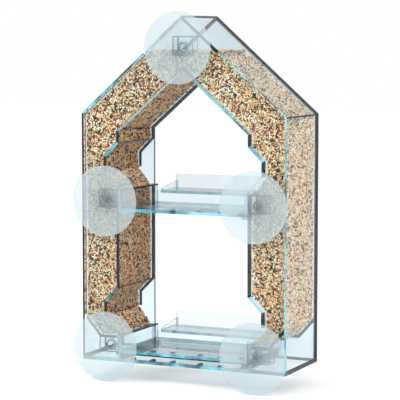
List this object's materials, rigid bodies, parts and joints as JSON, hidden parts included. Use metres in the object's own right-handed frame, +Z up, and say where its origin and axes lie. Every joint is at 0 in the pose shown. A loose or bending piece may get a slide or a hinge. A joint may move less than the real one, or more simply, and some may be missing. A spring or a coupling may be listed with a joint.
{
  "type": "window bird feeder",
  "caption": "Clear house-shaped gravity feeder for wild birds, with hollow sides that hold seed, two slide-out trays, a hinged ridge lid and suction cups for a window.",
  "frame": {"origin": "on the window glass at the centre of the top suction cup's rim", "axes": "+X to the right seen from indoors, +Y outdoors away from the glass, +Z up"},
  "size_m": [0.2298, 0.133, 0.3665],
  "materials": {
    "acrylic": "gloss",
    "cup": "satin",
    "pin": "satin",
    "seed": "matte"
  },
  "bodies": {
    "case": {"back_panel": "acrylic", "base_plate": "acrylic", "bottom_runner_left": "acrylic", "bottom_runner_right": "acrylic", "cup_socket_bottom_left": "acrylic", "cup_socket_bottom_right": "acrylic", "cup_socket_mid_left": "acrylic", "cup_socket_mid_right": "acrylic", "cup_socket_top": "acrylic", "front_panel": "acrylic", "gable_plate_left": "acrylic", "gable_plate_right": "acrylic", "hinge_pin": "pin", "hopper_floor_left": "acrylic", "hopper_floor_right": "acrylic", "lower_wall_left": "acrylic", "lower_wall_right": "acrylic", "mid_rail_left": "acrylic", "mid_rail_right": "acrylic", "outer_wall_left": "acrylic", "outer_wall_right": "acrylic", "roof_plate_left": "acrylic", "roof_plate_right": "acrylic", "seed_left": "seed", "seed_right": "seed", "sill_wall_left": "acrylic", "sill_wall_right": "acrylic", "suction_cup_bottom_left": "cup", "suction_cup_bottom_right": "cup", "suction_cup_mid_left": "cup", "suction_cup_mid_right": "cup", "suction_cup_top": "cup", "upper_funnel_left": "acrylic", "upper_funnel_right": "acrylic"},
    "lid": {"lid_plate_left": "acrylic", "lid_plate_right": "acrylic", "hinge_barrel": "acrylic"},
    "mid_tray": {"mid_tray_back_wall": "acrylic", "mid_tray_end_left": "acrylic", "mid_tray_end_right": "acrylic", "mid_tray_floor": "acrylic", "mid_tray_front_lip": "acrylic", "mid_tray_perch_cheek_left": "acrylic", "mid_tray_perch_cheek_right": "acrylic", "mid_tray_perch_ledge": "acrylic", "mid_tray_perch_rim": "acrylic"},
    "bottom_tray": {"bottom_tray_back_wall": "acrylic", "bottom_tray_end_left": "acrylic", "bottom_tray_end_right": "acrylic", "bottom_tray_floor": "acrylic", "bottom_tray_front_lip": "acrylic", "bottom_tray_perch_cheek_left": "acrylic", "bottom_tray_perch_cheek_right": "acrylic", "bottom_tray_perch_ledge": "acrylic", "bottom_tray_perch_rim": "acrylic"}
  },
  "joints": [
    {"name": "lid_hinge", "type": "hinge", "parent": "case", "child": "lid", "pos_m": [-0.03637, 0.052, -0.00585], "axis": [0, -1, 0], "range_deg": [0, 90]},
    {"name": "mid_tray_slide", "type": "slide", "parent": "case", "child": "mid_tray", "axis": [0, 1, 0], "range_m": [0, 0.09]},
    {"name": "bottom_tray_slide", "type": "slide", "parent": "case", "child": "bottom_tray", "axis": [0, 1, 0], "range_m": [0, 0.09]}
  ]
}
